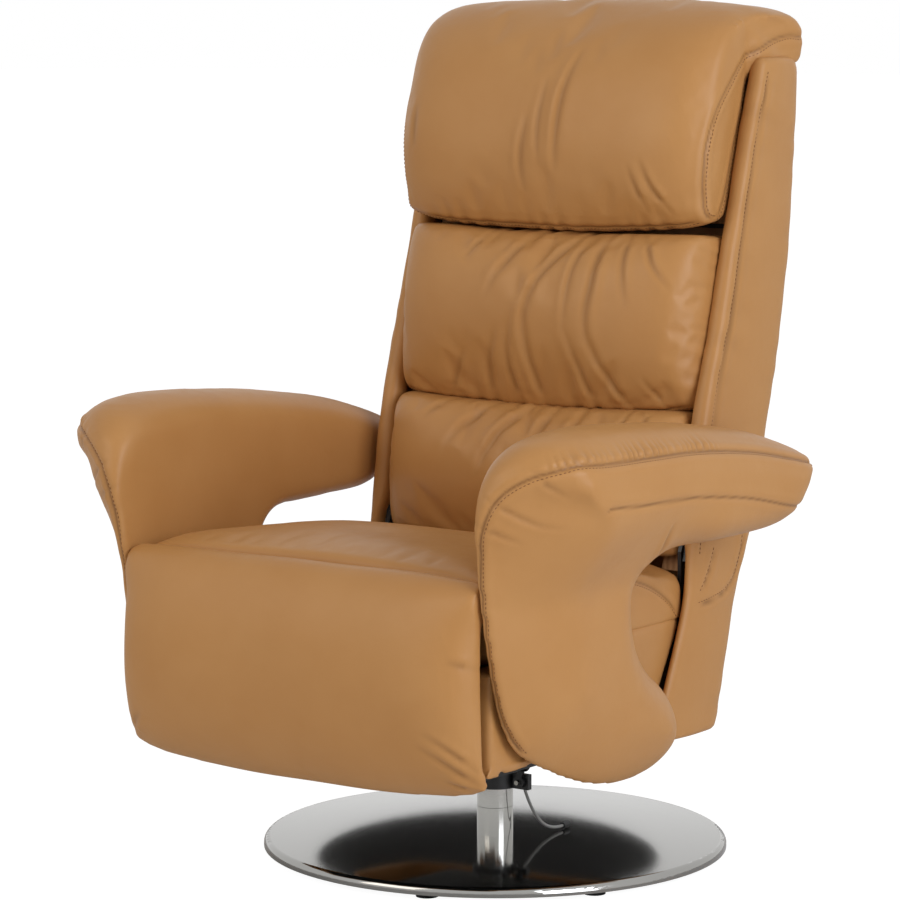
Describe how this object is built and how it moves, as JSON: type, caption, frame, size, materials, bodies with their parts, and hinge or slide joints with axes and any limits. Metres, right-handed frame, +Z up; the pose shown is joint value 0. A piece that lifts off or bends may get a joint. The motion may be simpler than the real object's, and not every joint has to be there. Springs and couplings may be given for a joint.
{
  "type": "swivel recliner chair",
  "caption": "Upholstered power recliner on a round disc foot, with swivel, folding leg rest, reclining back and tilting headrest.",
  "frame": {"origin": "on the floor, at the middle of the chair's outline seen from above", "axes": "+Z up, -Y towards the chair's front, +X towards the sitter's left"},
  "size_m": [0.7848, 0.7853, 1.0811],
  "materials": {
    "leather": "smooth semi-aniline",
    "mirror_steel": "mirror polished",
    "bright_steel": "zinc plated",
    "ballast_iron": "as cast",
    "black_rubber": "matte",
    "black_plastic": "moulded",
    "black_gloss": "glossy",
    "grey_lead": "smooth",
    "black_paint": "satin",
    "plywood": "raw birch",
    "hardwood": "raw beech",
    "elastic_webbing": "woven"
  },
  "bodies": {
    "base": {"base_disc": "mirror_steel", "ballast_plate": "ballast_iron", "floor_glides": "black_rubber", "flange_screws": "bright_steel", "spindle": "bright_steel", "column_tube": "mirror_steel"},
    "seat": {"swivel_sleeve": "mirror_steel", "swivel_bushes": "black_plastic", "thrust_washer": "bright_steel", "column_collar": "black_paint", "collar_bolt": "bright_steel", "seat_carrier": "black_paint", "seat_rail_left": "black_paint", "seat_rail_right": "black_paint", "side_board_left": "plywood", "side_board_right": "plywood", "front_board": "plywood", "rear_board": "plywood", "seat_webbing": "elastic_webbing", "recline_bracket_left": "black_paint", "recline_bracket_right": "black_paint", "leg_rest_rod": "bright_steel", "lift_tube": "bright_steel", "lift_motor": "black_plastic", "seat_cushion": "leather", "side_cover_left": "leather", "side_cover_right": "leather", "arm_left": "leather", "arm_right": "leather", "lead": "grey_lead", "lead_plug": "black_plastic", "seat_crossbars": "black_paint", "recline_pins": "bright_steel", "leg_rest_lugs": "black_paint", "arm_mounts": "plywood"},
    "back": {"back_hinge_plate_left": "black_paint", "back_hinge_plate_right": "black_paint", "back_webbing": "elastic_webbing", "back_shell": "leather", "lumbar_cushion": "leather", "middle_cushion": "leather", "back_upright_left": "hardwood", "back_upright_right": "hardwood", "back_stretchers": "hardwood", "head_hinge_brackets": "black_paint", "hinge_blocks": "plywood"},
    "head": {"headrest_cushion": "leather", "head_hinge_arms": "black_paint", "head_hinge_pins": "bright_steel", "headrest_board": "plywood"},
    "footrest": {"leg_rest_board": "plywood", "lift_plate": "black_paint", "leg_rest_pad": "leather", "leg_rest_arms": "black_paint"},
    "rod": {"lift_rod": "bright_steel"},
    "lever": {"brake_lever": "black_paint", "lever_grip": "black_gloss"}
  },
  "joints": [
    {"name": "swivel", "type": "hinge", "parent": "base", "child": "seat", "pos_m": [0, 0.062, 0], "axis": [0, 0, 1], "continuous": true},
    {"name": "recline", "type": "hinge", "parent": "seat", "child": "back", "pos_m": [0, 0.153, 0.4], "axis": [-1, 0, 0], "range_deg": [0, 28]},
    {"name": "headrest_tilt", "type": "hinge", "parent": "back", "child": "head", "pos_m": [0, 0.21, 0.858], "axis": [1, 0, 0], "range_deg": [0, 45]},
    {"name": "leg_rest_fold", "type": "hinge", "parent": "seat", "child": "footrest", "pos_m": [0, -0.34, 0.398], "axis": [-1, 0, 0], "range_deg": [0, 90]},
    {"name": "lift_slide", "type": "slide", "parent": "seat", "child": "rod", "axis": [0, -1, 0], "range_m": [0, 0.1401]},
    {"name": "brake_lever_turn", "type": "hinge", "parent": "seat", "child": "lever", "pos_m": [0.0425, 0.062, 0.0935], "axis": [0, 1, 0], "range_deg": [0, 25]}
  ],
  "couplings": [
    {"joint": "lift_slide", "follows": "leg_rest_fold", "m_per_rad": 0.089127}
  ]
}
